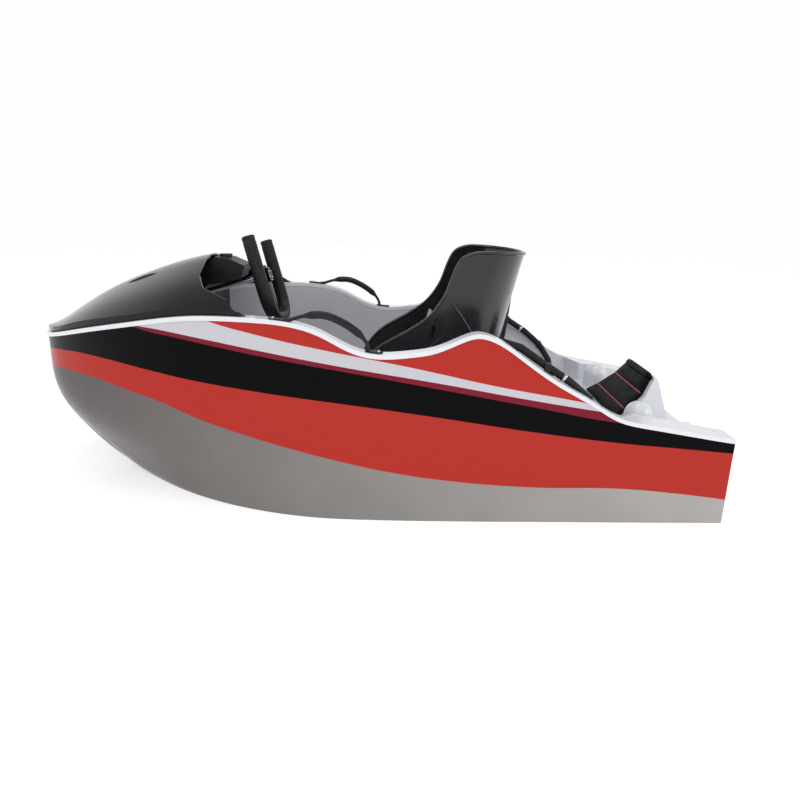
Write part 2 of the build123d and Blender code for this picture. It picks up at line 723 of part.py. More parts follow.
# ------------------------------------------------------------ side hoses
hose_tube = 26.0
hose_y = 467.0
hose_route = [(-372.0, hose_y, 560.0), (-430.0, hose_y, 632.0), (-520.0, hose_y, 606.0), (-610.0, hose_y, 545.0),
              (-690.0, hose_y, 494.0), (-758.0, hose_y - 8, 436.0), (-800.0, hose_y - 28, 370.0),
              (-812.0, hose_y - 45, rear_deck_height)]
clip_stations = (1, 3, 5)
with BuildPart() as hose:
    with BuildLine() as route:
        FilletPolyline(*hose_route, radius=30)
    with BuildSketch(Plane(origin=route.line @ 0, z_dir=route.line % 0)):
        Circle(hose_tube / 2)
    sweep(path=route.line)
    add(block((-900, 0), (0, far), (0, rear_deck_height)), mode=Mode.SUBTRACT)

with BuildPart() as clips:
    for index in clip_stations:
        x, y, z = hose_route[index]
        with Locations(Pos(x, y, z - 2) * Rot(0, 0, 0)):
            Box(18, 70, 30, align=(Align.CENTER, Align.MIN, Align.CENTER))
    add(hull_body(-inner_wall), mode=Mode.INTERSECT)
    add(hose.part, mode=Mode.SUBTRACT)

for label, side in (("port", 1), ("starboard", -1)):
    with BuildPart() as side_hose:
        add(hose.part if side == 1 else hose.part.mirror(Plane.XZ))
    keep(side_hose, f"side_hose_{label}")
    with BuildPart() as hose_clips:
        add(clips.part if side == 1 else clips.part.mirror(Plane.XZ))
    keep(hose_clips, f"hose_clips_{label}")

# ------------------------------------------------------------ jet drive
jet_axis = Plane(origin=(transom_x, 0, jet_height), x_dir=(0, 1, 0), z_dir=(1, 0, 0))
pump_length = 150.0
pump_fore = tunnel_fore         # pump face against the tunnel's front wall
nozzle_bore = 34.0
nozzle_wall = 4.0
outlet_fore = 12.0              # fixed outlet ends this far forward of the transom
throat_fore = 60.0              # the outlet is straight aft of here
pivot_fore = 20.0
pin_radius = 5.0
steer_front = 56.0              # swivelling nozzle's bore at its pins
steer_wall = 6.0
vane_count = 4
vane_thickness = 5.0
stator_hub = 18.0
pump_outer = pump_bore + pump_wall


def jet_plane(fore):
    return jet_axis.offset(fore)


with BuildPart() as pump_housing:
    with BuildSketch(Plane.XZ.offset(0)):
        with BuildLine():
            Polyline(
                (transom_x + pump_fore, jet_height + pump_bore), (transom_x + pump_fore, jet_height + pump_outer + 8),
                (transom_x + pump_fore - 10, jet_height + pump_outer + 8),
                (transom_x + pump_fore - 10, jet_height + pump_outer),
                (transom_x + pump_fore - pump_length, jet_height + pump_outer),
                (transom_x + throat_fore, jet_height + nozzle_bore + nozzle_wall),
                (transom_x + outlet_fore, jet_height + nozzle_bore + nozzle_wall),
                (transom_x + outlet_fore, jet_height + nozzle_bore),
                (transom_x + throat_fore, jet_height + nozzle_bore),
                (transom_x + pump_fore - pump_length, jet_height + pump_bore), close=True)
        make_face()
    revolve(axis=Axis((0, 0, jet_height), (1, 0, 0)))
    for turn in range(vane_count):
        with BuildSketch(jet_plane(pump_fore - pump_length + 2)):
            with Locations(Rot(0, 0, 45 + 360 / vane_count * turn)):
                with Locations((pump_bore / 2 + 4, 0)):
                    Rectangle(pump_bore - 6, vane_thickness)
        extrude(amount=34)
    with BuildSketch(jet_plane(pump_fore - pump_length + 2)):
        Circle(stator_hub)
    extrude(amount=34)
    with BuildSketch(jet_plane(pump_fore - pump_length)):
        Circle(shaft_radius + shaft_clearance)
    extrude(amount=40, mode=Mode.SUBTRACT)
    # pivot bosses above and below the outlet
    with BuildSketch(Plane(origin=(transom_x + pivot_fore, 0, jet_height))):
        Circle(9)
    extrude(amount=steer_front - moving_gap, both=True)
    with BuildSketch(Plane(origin=(transom_x + pivot_fore, 0, jet_height))):
        Circle(pin_radius)
    extrude(amount=steer_front + steer_wall + 3, both=True)
    with BuildSketch(jet_plane(outlet_fore - 1)):
        Circle(nozzle_bore)
    extrude(amount=throat_fore - outlet_fore, mode=Mode.SUBTRACT)
keep(pump_housing, "pump_housing")

impeller_hub = 20.0
blade_radius = pump_bore - moving_gap
blade_count = 3
impeller_fore = 150.0
blade_reach = 44.0          # along the shaft
blade_pitch = 55.0
with BuildPart() as blades:
    for turn in range(blade_count):
        around = math.radians(360 / blade_count * turn)
        root = Plane(origin=(transom_x + impeller_fore + blade_reach / 2, 0, jet_height), x_dir=(1, 0, 0),
                     z_dir=(0, math.sin(around), math.cos(around)))
        with BuildSketch(root.offset(impeller_hub - 6)):
            Rectangle(58, 5, rotation=blade_pitch)
        extrude(amount=blade_radius)
    with BuildSketch(jet_plane(impeller_fore)):
        Circle(blade_radius)
    extrude(amount=blade_reach, mode=Mode.INTERSECT)

with BuildPart() as impeller:
    with BuildSketch(jet_plane(pump_fore - pump_length + 8)):
        Circle(shaft_radius)
    extrude(amount=pump_length)
    with BuildSketch(jet_plane(impeller_fore)):
        Circle(impeller_hub)
    extrude(amount=blade_reach)
    add(blades.part)
keep(impeller, "impeller")

steer_exit = 38.0
steer_aft = 44.0
with BuildPart() as steering_nozzle:
    with BuildSketch(Plane.XZ):
        with BuildLine():
            Polyline(
                (transom_x + pivot_fore + 12, jet_height + steer_front),
                (transom_x + pivot_fore + 12, jet_height + steer_front + steer_wall),
                (transom_x + pivot_fore - 12, jet_height + steer_front + steer_wall),
                (transom_x - steer_aft, jet_height + steer_exit + steer_wall),
                (transom_x - steer_aft, jet_height + steer_exit),
                (transom_x + pivot_fore - 12, jet_height + steer_front), close=True)
        make_face()
    revolve(axis=Axis((0, 0, jet_height), (1, 0, 0)))
    with BuildSketch(Plane(origin=(transom_x + pivot_fore, 0, jet_height))):
        Circle(pin_radius + shaft_clearance)
    extrude(amount=nozzle_bore + 40, both=True, mode=Mode.SUBTRACT)
    # arm for the steering cable
    add(block((transom_x - 18, transom_x + 8), (steer_front + 2, steer_front + 20), (jet_height - 5, jet_height + 5)))
keep(steering_nozzle, "steering_nozzle")

with BuildPart() as ride_plate:
    add(block((transom_x + 30, transom_x + tunnel_fore), (-tunnel_half_width, tunnel_half_width), (0, 7)))
keep(ride_plate, "ride_plate")

grate_bar = 6.0
with BuildPart() as intake_grate:
    for row in range(-3, 4):
        add(block((intake_aft, intake_aft + intake_length * 0.75), (row * 16 - grate_bar / 2, row * 16 + grate_bar / 2),
                  (1, 9)))
    add(block((intake_aft, intake_aft + 12), (-intake_half_width, intake_half_width), (1, 9)))
    add(intake_recess.part, mode=Mode.INTERSECT)
keep(intake_grate, "intake_grate")

# ------------------------------------------------------------ transom fittings
eye_spread = 250.0
eye_height = 160.0
eye_hole = 7.0
for label, side in (("port", 1), ("starboard", -1)):
    with BuildPart() as stern_eye:
        add(block((transom_x - 5, transom_x), (side * eye_spread - 26, side * eye_spread + 26),
                  (eye_height - 30, eye_height + 30)))
        with BuildSketch(Plane.XY.offset(eye_height)):
            with Locations((transom_x - 20, side * eye_spread)):
                Circle(17)
            with Locations((transom_x - 12, side * eye_spread)):
                Rectangle(16, 34)
            with Locations((transom_x - 22, side * eye_spread)):
                Circle(eye_hole, mode=Mode.SUBTRACT)
        extrude(amount=5, both=True)
    keep(stern_eye, f"stern_eye_{label}")

with BuildPart() as drain_plug:
    with BuildSketch(Plane(origin=(transom_x, -160, 40), z_dir=(-1, 0, 0))):
        Circle(17)
    extrude(amount=4)
    with BuildSketch(Plane(origin=(transom_x, -160, 40), z_dir=(-1, 0, 0))):
        RegularPolygon(11, 6)
    extrude(amount=14)
keep(drain_plug, "drain_plug")

exhaust_out = 320.0
exhaust_height = 200.0
with BuildPart() as exhaust_outlet:
    with BuildSketch(Plane(origin=(transom_x, -exhaust_out, exhaust_height), z_dir=(-1, 0, 0))):
        Circle(33)
    extrude(amount=5)
    with BuildSketch(Plane(origin=(transom_x, -exhaust_out, exhaust_height), z_dir=(-1, 0, 0))):
        Circle(25)
    extrude(amount=32)
    with BuildSketch(Plane(origin=(transom_x, -exhaust_out, exhaust_height), z_dir=(-1, 0, 0))):
        Circle(21)
    extrude(amount=40, mode=Mode.SUBTRACT)
keep(exhaust_outlet, "exhaust_outlet")
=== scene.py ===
import math

import bmesh
import bpy
from mathutils import Matrix, Vector
from mathutils.bvhtree import BVHTree


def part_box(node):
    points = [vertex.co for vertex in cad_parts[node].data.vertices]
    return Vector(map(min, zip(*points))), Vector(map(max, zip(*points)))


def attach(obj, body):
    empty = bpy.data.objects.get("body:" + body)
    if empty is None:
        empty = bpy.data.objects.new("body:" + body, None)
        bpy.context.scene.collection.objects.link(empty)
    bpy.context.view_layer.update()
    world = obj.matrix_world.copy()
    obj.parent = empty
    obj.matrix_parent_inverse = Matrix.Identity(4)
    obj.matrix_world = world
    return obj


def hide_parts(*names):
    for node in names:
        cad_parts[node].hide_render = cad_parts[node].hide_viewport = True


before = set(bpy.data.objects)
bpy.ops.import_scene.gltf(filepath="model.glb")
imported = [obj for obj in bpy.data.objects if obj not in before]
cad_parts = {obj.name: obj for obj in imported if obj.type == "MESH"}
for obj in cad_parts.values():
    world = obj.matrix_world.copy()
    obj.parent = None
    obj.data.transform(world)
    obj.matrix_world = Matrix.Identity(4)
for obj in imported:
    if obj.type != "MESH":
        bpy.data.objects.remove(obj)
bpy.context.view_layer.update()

# ---------------------------------------------------------------- floor, light and camera
# A pale seamless studio floor, glowing a little from below, in front of a white wall
# that darkens towards the ceiling. Soft boxes stand high to port, overhead and astern.


def hue(code):
    """An sRGB hex colour as linear RGBA."""
    parts = [int(code[place:place + 2], 16) / 255 for place in (0, 2, 4)]
    linear = [part / 12.92 if part <= 0.04045 else ((part + 0.055) / 1.055) ** 2.4 for part in parts]
    return (*linear, 1.0)


def add_node(tree, kind, sockets=None, **settings):
    """Adds a shader node with its settings; each socket takes a value or a link."""
    made = tree.nodes.new("ShaderNode" + kind)
    for name, value in settings.items():
        setattr(made, name, value)
    for name, value in (sockets or {}).items():
        if isinstance(value, bpy.types.NodeSocket):
            tree.links.new(value, made.inputs[name])
        else:
            made.inputs[name].default_value = value
    return made


def new_finish(name, **values):
    """Starts a material: returns it, its tree and its shader with the given plain values."""
    finish = bpy.data.materials.new(name)
    finish.use_nodes = True
    tree = finish.node_tree
    shader = tree.nodes["Principled BSDF"]
    for socket, value in values.items():
        shader.inputs[socket.replace("_", " ")].default_value = value
    return finish, tree, shader


def per_metre(millimetres):
    """Texture scale whose features are this size."""
    return 1000.0 / millimetres


def to_mesh_piece(name, vertices, faces, finish, smooth=True):
    """A named mesh piece from plain lists, in metres."""
    mesh = bpy.data.meshes.new(name)
    mesh.from_pydata([tuple(vertex) for vertex in vertices], [], faces)
    mesh.materials.append(finish)
    for face in mesh.polygons:
        face.use_smooth = smooth
    piece = bpy.data.objects.new(name, mesh)
    bpy.context.collection.objects.link(piece)
    return piece


studio_paper, paper_tree, paper_shader = new_finish(
    "white paper backdrop, matt", Base_Color=hue("F4F4F5"), Roughness=0.95, Specular_IOR_Level=0.15,
    Emission_Color=hue("FFFFFF"), Emission_Strength=0.5)
paper_fibre = add_node(paper_tree, "TexNoise", {"Scale": per_metre(400), "Detail": 3.0})
paper_dullness = add_node(paper_tree, "MapRange", {"Value": paper_fibre.outputs["Fac"],
                                                   "To Min": 0.9, "To Max": 1.0})
paper_tree.links.new(paper_dullness.outputs[0], paper_shader.inputs["Roughness"])
floor_reach = 14.0
floor_corners = [(along * floor_reach, across * floor_reach, 0)
                 for along, across in ((-1, -1), (1, -1), (1, 1), (-1, 1))]
studio_floor = to_mesh_piece("studio_floor", floor_corners, [(0, 1, 2, 3)], studio_paper)

bpy.context.scene.view_settings.view_transform = "Standard"
studio_sky = bpy.data.worlds.new("studio_sky")
bpy.context.scene.world = studio_sky
studio_sky.use_nodes = True
sky_tree = studio_sky.node_tree
wall_light = sky_tree.nodes["Background"]
wall_light.inputs["Color"].default_value = hue("FDFDFF")
# White as far up as the wall goes, then darker towards the ceiling
heading = add_node(sky_tree, "TexCoord").outputs["Generated"]
climb = add_node(sky_tree, "SeparateXYZ", {"Vector": heading})
wall_glow = add_node(sky_tree, "MapRange", {"Value": climb.outputs["Z"], "From Min": 0.26, "From Max": 0.7,
                                            "To Min": 1.0, "To Max": 0.4}, interpolation_type="SMOOTHSTEP")
sky_tree.links.new(wall_glow.outputs[0], wall_light.inputs["Strength"])

boat_middle = Vector((0.0, 0.0, 0.45))
# Name, place, width, height, watts
softboxes = (("port_key", (0.9, 3.4, 3.6), 3.2, 1.6, 34.0),
             ("overhead_strip", (-0.2, 0.2, 4.2), 4.2, 0.8, 42.0),
             ("stern_fill", (-4.2, 1.4, 2.0), 2.0, 2.0, 30.0))
for label, place, width, height, power in softboxes:
    softbox = bpy.data.lights.new(label, "AREA")
    softbox.shape = "RECTANGLE"
    softbox.size, softbox.size_y = width, height
    softbox.energy = power
    lamp = bpy.data.objects.new(label, softbox)
    lamp.location = place
    lamp.rotation_euler = (boat_middle - Vector(place)).to_track_quat("-Z", "Y").to_euler()
    bpy.context.collection.objects.link(lamp)

view_pitch, view_yaw, view_roll = math.radians(15.73), math.radians(0.08), math.radians(0.9)
view_along = Vector((math.sin(view_yaw) * math.cos(view_pitch),
                     -math.cos(view_yaw) * math.cos(view_pitch), -math.sin(view_pitch)))
level_right = view_along.cross(Vector((0, 0, 1))).normalized()
level_up = level_right.cross(view_along)
view_right = level_right * math.cos(view_roll) + level_up * math.sin(view_roll)
view_up = level_up * math.cos(view_roll) - level_right * math.sin(view_roll)
lens = bpy.data.cameras.new("side_camera")
lens.lens, lens.sensor_width = 32.4, 36.0
side_camera = bpy.data.objects.new("side_camera", lens)
facing = Matrix((view_right, view_up, -view_along)).transposed().to_4x4()
camera_place = (-0.132, 2.778, 1.073)
side_camera.matrix_world = Matrix.Translation(camera_place) @ facing
bpy.context.collection.objects.link(side_camera)
bpy.context.scene.camera = side_camera

# ---------------------------------------------------------------- hull
# A glass-fibre moulding laid up in a female mould, gelcoat outside. Grey bottom,
# red and black topsides masked and sprayed, with a white flash and a pinstripe.


def dress(finish, *names):
    """Gives CAD nodes a finish."""
    for name in names:
        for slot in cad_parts[name].material_slots:
            slot.material = finish


def soften_edges(tree, shader, radius, height, strength, distance=0.001):
    """Rounds the look of hard edges by a radius in mm, with a bump over it."""
    edge = add_node(tree, "Bevel", {"Radius": radius / 1000}, samples=6)
    bump = add_node(tree, "Bump", {"Height": height, "Normal": edge.outputs["Normal"],
                                   "Strength": strength, "Distance": distance})
    tree.links.new(bump.outputs["Normal"], shader.inputs["Normal"])


# Paint lines along the topsides: station from midship and height, mm. Past the
# ends of a line the rail covers it.
flash_top = ((-1250, 400), (-880, 410), (-713, 442), (-450, 489), (-160, 550), (130, 603), (320, 640),
             (500, 682), (700, 760))
flash_foot = ((-1250, 380), (-950, 385), (-800, 406), (-550, 446), (-255, 498), (32, 543), (320, 590),
              (520, 621), (675, 642), (766, 652), (900, 720))
pinstripe_foot = ((-1250, 350), (-1000, 356), (-860, 368), (-550, 424), (-257, 478), (32, 528), (322, 573),
                  (572, 613), (767, 645), (900, 715))
black_foot = ((-1250, 262), (-1063, 279), (-860, 297), (-558, 335), (-260, 380), (33, 419), (327, 451),
              (582, 478), (744, 499), (921, 518), (1060, 520), (1250, 492))
red_foot = ((-1250, 90), (-1089, 111), (-880, 129), (-574, 132), (-268, 156), (-66, 187), (135, 231),
            (337, 280), (543, 335), (701, 388), (813, 412), (1000, 442), (1150, 440), (1250, 420))
half_length, paint_height = 1250.0, 800.0

# Polyester gelcoat, polished: deep even colour with little shine on it, so the
# black band stays black; faint orange peel
hull_gelcoat, tree, shader = new_finish(
    "polyester gelcoat, sprayed bands and polished", IOR=1.5, Specular_IOR_Level=0.05, Coat_Weight=0.03,
    Coat_Roughness=0.06, Coat_IOR=1.5)
place = add_node(tree, "TexCoord").outputs["Object"]
axes = add_node(tree, "SeparateXYZ", {"Vector": place})
station = add_node(tree, "MapRange", {"Value": axes.outputs["X"], "From Min": -half_length / 1000,
                                      "From Max": half_length / 1000})
level = add_node(tree, "Math", {0: axes.outputs["Z"], 1: paint_height / 1000}, operation="DIVIDE")


def paint_line(tree, run):
    """1 above a paint line, 0 below it."""
    curve = add_node(tree, "FloatCurve", {"Value": station.outputs[0]})
    line = curve.mapping.curves[0]
    while len(line.points) < len(run):
        line.points.new(0.5, 0.5)
    for point, (x, z) in zip(line.points, run):
        point.location = ((x + half_length) / (2 * half_length), z / paint_height)
    curve.mapping.update()
    above = add_node(tree, "Math", {0: level.outputs[0], 1: curve.outputs[0]}, operation="GREATER_THAN")
    return above.outputs[0]


bottom_cloud = add_node(tree, "TexNoise", {"Vector": place, "Scale": per_metre(240), "Detail": 5.0})
# The grey bottom gelcoat, ramped from light grey aft to dark grey at the bow: the darkening forward is
# painted shade, not a change in the gelcoat
bottom_grey_and_painted_shade = add_node(tree, "MixRGB", {"Fac": station.outputs[0],
                                        "Color1": hue("AAA8A4"), "Color2": hue("544E4D")})
bottom_shift = add_node(tree, "MapRange", {"Value": bottom_cloud.outputs["Fac"],
                                           "To Min": 0.88, "To Max": 1.12})
bottom_tone = add_node(tree, "HueSaturation", {"Color": bottom_grey_and_painted_shade.outputs[0],
                                               "Value": bottom_shift.outputs[0]})
band = bottom_tone.outputs[0]
topside_red = "B0322B"
for run, code in ((red_foot, topside_red), (black_foot, "030305"), (pinstripe_foot, "7A1F2E"),
                  (flash_foot, "C4C3C8"), (flash_top, topside_red)):
    painted = add_node(tree, "MixRGB", {"Fac": paint_line(tree, run), "Color1": band, "Color2": hue(code)})
    band = painted.outputs[0]
handling_marks = add_node(tree, "TexNoise", {"Vector": place, "Scale": per_metre(60), "Detail": 8.0,
                                             "Roughness": 0.7})
worn = add_node(tree, "MapRange", {"Value": handling_marks.outputs["Fac"], "From Min": 0.35, "From Max": 0.75,
                                   "To Min": 0.16, "To Max": 0.34})
tree.links.new(band, shader.inputs["Base Color"])
tree.links.new(worn.outputs[0], shader.inputs["Roughness"])
orange_peel = add_node(tree, "TexNoise", {"Vector": place, "Scale": per_metre(6), "Detail": 2.0})
soften_edges(tree, shader, 3.0, orange_peel.outputs["Fac"], 0.05)
dress(hull_gelcoat, "hull")

# ---------------------------------------------------------------- gunwale, rear deck and domes
# White mouldings: the rail bonded over the topsides' head, and the rear deck with
# its hump and two domes, dropped in and bonded under the rail.


def gelcoat(name, code, clean, dull):
    """A plain-coloured polished gelcoat, roughness from clean to dull."""
    finish, tree, shader = new_finish(name, IOR=1.5, Coat_Weight=0.4, Coat_Roughness=0.08)
    place = add_node(tree, "TexCoord").outputs["Object"]
    chalk = add_node(tree, "TexNoise", {"Vector": place, "Scale": per_metre(120), "Detail": 6.0,
                                        "Roughness": 0.65})
    tone = add_node(tree, "HueSaturation", {"Color": hue(code)})
    shift = add_node(tree, "MapRange", {"Value": chalk.outputs["Fac"], "To Min": 0.97, "To Max": 1.03})
    tree.links.new(shift.outputs[0], tone.inputs["Value"])
    gloss = add_node(tree, "MapRange", {"Value": chalk.outputs["Fac"], "From Min": 0.3, "From Max": 0.7,
                                        "To Min": clean, "To Max": dull})
    tree.links.new(tone.outputs[0], shader.inputs["Base Color"])
    tree.links.new(gloss.outputs[0], shader.inputs["Roughness"])
    peel = add_node(tree, "TexNoise", {"Vector": place, "Scale": per_metre(16), "Detail": 1.0})
    ripple = add_node(tree, "Bump", {"Height": peel.outputs["Fac"], "Strength": 0.02, "Distance": 0.0006})
    tree.links.new(ripple.outputs["Normal"], shader.inputs["Normal"])
    return finish


# Polyester gelcoat, off a polished mould: clear wide reflections, slightly chalky in patches
white_gelcoat = gelcoat("white gelcoat, moulded and polished", "DFE1E6", 0.24, 0.32)
dress(white_gelcoat, "gunwale", "rear_deck", "engine_hatch")

# ---------------------------------------------------------------- cockpit liner
# The inner moulding of glass fibre, bonded under the rail, with a non-slip
# pattern moulded into its floor.
# Grey gelcoat, left as it leaves a satin mould: soft broad sheen, faint glass print
liner_gelcoat, tree, shader = new_finish("grey gelcoat, satin from the mould", IOR=1.5, Coat_Weight=0.12,
                                         Coat_Roughness=0.3)
place = add_node(tree, "TexCoord").outputs["Object"]
liner_cloud = add_node(tree, "TexNoise", {"Vector": place, "Scale": per_metre(150), "Detail": 6.0,
                                          "Roughness": 0.7})
liner_tone = add_node(tree, "MixRGB", {"Fac": liner_cloud.outputs["Fac"], "Color1": hue("B8B7BE"),
                                       "Color2": hue("CECDD3")})
liner_gloss = add_node(tree, "MapRange", {"Value": liner_cloud.outputs["Fac"], "To Min": 0.35, "To Max": 0.6})
tree.links.new(liner_tone.outputs[0], shader.inputs["Base Color"])
tree.links.new(liner_gloss.outputs[0], shader.inputs["Roughness"])
tread = add_node(tree, "TexVoronoi", {"Vector": place, "Scale": per_metre(9), "Randomness": 0.0},
                 distance="MANHATTAN")
tread_top = 0.078  # just over the cockpit's floor, metres
liner_axes = add_node(tree, "SeparateXYZ", {"Vector": place})
on_floor = add_node(tree, "Math", {0: liner_axes.outputs["Z"], 1: tread_top}, operation="LESS_THAN")
tread_height = add_node(tree, "Math", {0: tread.outputs["Distance"], 1: on_floor.outputs[0]},
                        operation="MULTIPLY")
glass_print = add_node(tree, "TexNoise", {"Vector": place, "Scale": per_metre(5), "Detail": 3.0})
relief = add_node(tree, "Math", {0: glass_print.outputs["Fac"], 1: 0.12, 2: tread_height.outputs[0]},
                  operation="MULTIPLY_ADD")
soften_edges(tree, shader, 6.0, relief.outputs[0], 0.5)
dress(liner_gelcoat, "cockpit_liner")

# ---------------------------------------------------------------- bow hood
# A black glass-fibre cowl, screwed down on a rubber seal; two leaf-shaped
# intakes are moulded in and meshed over.
# Black gelcoat, buffed: dark and mirror-like, with swirl marks in the gloss
hood_gelcoat, tree, shader = new_finish(
    "black gelcoat, polished cowl", Base_Color=hue("08070A"), IOR=1.5, Specular_IOR_Level=0.12,
    Coat_Weight=0.35, Coat_Roughness=0.03)
place = add_node(tree, "TexCoord").outputs["Object"]
swirl = add_node(tree, "TexNoise", {"Vector": place, "Scale": per_metre(90), "Detail": 7.0, "Roughness": 0.7})
hood_gloss = add_node(tree, "MapRange", {"Value": swirl.outputs["Fac"], "From Min": 0.3, "From Max": 0.7,
                                         "To Min": 0.1, "To Max": 0.24})
tree.links.new(hood_gloss.outputs[0], shader.inputs["Roughness"])
peel = add_node(tree, "TexNoise", {"Vector": place, "Scale": per_metre(9), "Detail": 2.0})
soften_edges(tree, shader, 3.0, peel.outputs["Fac"], 0.04)
dress(hood_gelcoat, "hood")


def moulded_black(name, code, clean, dull, grain, depth, edge=1.5, coat=0.0, shine=0.35):
    """A black moulding, roughness from clean to dull, with a fine grain (mm) of a given bump strength."""
    finish, tree, shader = new_finish(name, IOR=1.5, Specular_IOR_Level=shine, Coat_Weight=coat,
                                      Coat_Roughness=0.15)
    place = add_node(tree, "TexCoord").outputs["Object"]
    cloud = add_node(tree, "TexNoise", {"Vector": place, "Scale": per_metre(35), "Detail": 6.0,
                                        "Roughness": 0.65})
    tone = add_node(tree, "HueSaturation", {"Color": hue(code)})
    shift = add_node(tree, "MapRange", {"Value": cloud.outputs["Fac"], "To Min": 0.75, "To Max": 1.3})
    tree.links.new(shift.outputs[0], tone.inputs["Value"])
    gloss = add_node(tree, "MapRange", {"Value": cloud.outputs["Fac"], "From Min": 0.3, "From Max": 0.7,
                                        "To Min": clean, "To Max": dull})
    tree.links.new(tone.outputs[0], shader.inputs["Base Color"])
    tree.links.new(gloss.outputs[0], shader.inputs["Roughness"])
    skin = add_node(tree, "TexVoronoi", {"Vector": place, "Scale": per_metre(grain)}, feature="SMOOTH_F1")
    soften_edges(tree, shader, edge, skin.outputs["Distance"], depth, 0.0006)
    return finish


# EPDM rubber, extruded: dull, even, slightly open skin
seal_rubber = moulded_black("EPDM rubber, extruded", "141416", 0.55, 0.72, 1.2, 0.2)
# ABS mesh behind the intakes: deep grain so it reads as gauze
intake_mesh = moulded_black("ABS gauze, moulded", "0B0B0D", 0.5, 0.65, 3.0, 0.9)
dress(seal_rubber, "hood_seal")
dress(intake_mesh, "hood_intakes")

# ---------------------------------------------------------------- dash and console
# Black ABS mouldings screwed under the hood's rear edge. The hatch's latch and
# the fuel cap are moulded in the same plastic.
# ABS, moulded with a light leather grain: soft broad highlights
dash_abs = moulded_black("ABS, moulded with a light grain", "17161A", 0.32, 0.5, 2.0, 0.35, 2.5)
dress(dash_abs, "dash_panel", "dash_console", "dash_gauge", "hatch_latch", "fuel_cap")

# ---------------------------------------------------------------- steering
# An open-topped wheel: a flat spoke plate of black anodised aluminium on a steel
# column, with a padded rubber grip moulded round the rim.
# Nitrile foam rubber, moulded: dull and slightly open, so highlights stay soft
grip_rubber = moulded_black("nitrile foam rubber, moulded grip", "0E0E10", 0.42, 0.6, 1.6, 0.4)


def through(corners, per_leg=10):
    """A smooth run of points through the corners, given in mm."""
    ends = [corners[0]] + list(corners) + [corners[-1]]
    run = []
    for leg in range(len(corners) - 1):
        before, start, stop, after = (Vector(ends[leg + step]) / 1000 for step in range(4))
        for step in range(per_leg):
            t = step / per_leg
            run.append(0.5 * (2 * start + (stop - before) * t
                              + (2 * before - 5 * start + 4 * stop - after) * t**2
                              + (3 * start - before - 3 * stop + after) * t**3))
    return run + [Vector(corners[-1]) / 1000]


def swept(name, run, size_at, finish, start_up=(0, 1, 0), sides=20):
    """A solid bar along a run; size_at(share, distance in mm) gives its two half sizes in mm."""
    total = sum((after - before).length for before, after in zip(run, run[1:]))
    vertices, faces, travelled, up = [], [], 0.0, Vector(start_up)
    for index, point in enumerate(run):
        if index:
            travelled += (point - run[index - 1]).length
        along = (run[min(index + 1, len(run) - 1)] - run[max(index - 1, 0)]).normalized()
        up = (up - along * up.dot(along)).normalized()
        out = along.cross(up)
        half_up, half_out = size_at(travelled / total, travelled * 1000)
        for side in range(sides):
            angle = 2 * math.pi * side / sides
            vertices.append(point + up * math.cos(angle) * half_up / 1000
                            + out * math.sin(angle) * half_out / 1000)
        if index:
            low, high = (index - 1) * sides, index * sides
            faces += [(low + side, low + (side + 1) % sides, high + (side + 1) % sides, high + side)
                      for side in range(sides)]
    faces.append(tuple(reversed(range(sides))))
    faces.append(tuple(range(len(vertices) - sides, len(vertices))))
    return to_mesh_piece(name, vertices, faces, finish)


def turned(name, profile, centre, axis, finish, sides=40):
    """A lathe-turned piece: profile of (radius, height) in mm."""
    turn = Vector((0, 0, 1)).rotation_difference(Vector(axis)).to_matrix()
    vertices, faces = [], []
    for radius, height in profile:
        for side in range(sides):
            angle = 2 * math.pi * side / sides
            spot = Vector((radius * math.cos(angle), radius * math.sin(angle), height)) / 1000
            vertices.append(turn @ spot + Vector(centre) / 1000)
    for ring in range(len(profile) - 1):
        low, high = ring * sides, (ring + 1) * sides
        faces += [(low + side, low + (side + 1) % sides, high + (side + 1) % sides, high + side)
                  for side in range(sides)]
    faces.append(tuple(reversed(range(sides))))
    faces.append(tuple(range(len(vertices) - sides, len(vertices))))
    return to_mesh_piece(name, vertices, faces, finish)


def joined(name, pieces):
    """Several pieces made into one."""
    whole = bmesh.new()
    for piece in pieces:
        piece.data.transform(piece.matrix_world)
        whole.from_mesh(piece.data)
    finish = pieces[0].data.materials[0]
    for piece in pieces:
        bpy.data.objects.remove(piece)
    mesh = bpy.data.meshes.new(name)
    whole.to_mesh(mesh)
    whole.free()
    mesh.materials.append(finish)
    made = bpy.data.objects.new(name, mesh)
    bpy.context.collection.objects.link(made)
    return made


wheel_middle, wheel_lean, wheel_turn = Vector((385.0, 0.0, 780.0)), math.radians(16.0), math.radians(6.5)
wheel_upright = Vector((math.sin(wheel_lean), 0, math.cos(wheel_lean)))
wheel_facing = Vector((-math.cos(wheel_lean), 0, math.sin(wheel_lean)))
wheel_across = Vector((0, -1, 0)) * math.cos(wheel_turn) - wheel_upright * math.sin(wheel_turn)
wheel_height = wheel_facing.cross(wheel_across)


def on_wheel(across, height, towards=0.0):
    """A place on the wheel's own plane, mm."""
    return wheel_middle + wheel_across * across + wheel_height * height + wheel_facing * towards


# The grip's line on the wheel's plane: half width, top, foot, corner radius, mm
grip_half, grip_top, grip_bottom, grip_corner = 150.0, 141.0, -165.0, 95.0
grip_step = 5.0
straight_steps = int((grip_top - grip_bottom - grip_corner) / grip_step)
grip_run = [(-grip_half, grip_top - step * grip_step) for step in range(straight_steps + 1)]
grip_run += [(-grip_half + grip_corner * (1 - math.cos(math.radians(turn))),
              grip_bottom + grip_corner * (1 - math.sin(math.radians(turn)))) for turn in range(3, 90, 3)]
grip_run += [(-grip_half + grip_corner, grip_bottom), (0.0, grip_bottom)]
grip_run += [(-across, height) for across, height in reversed(grip_run[:-1])]
# The padding: half thickness, how much deeper it is than wide, length end to end
grip_thick, grip_oval, grip_length = 19.8, 1.22, 790.0
rib_depth, rib_pitch, rib_start, rib_stop = 0.55, 9.0, 22.0, 112.0


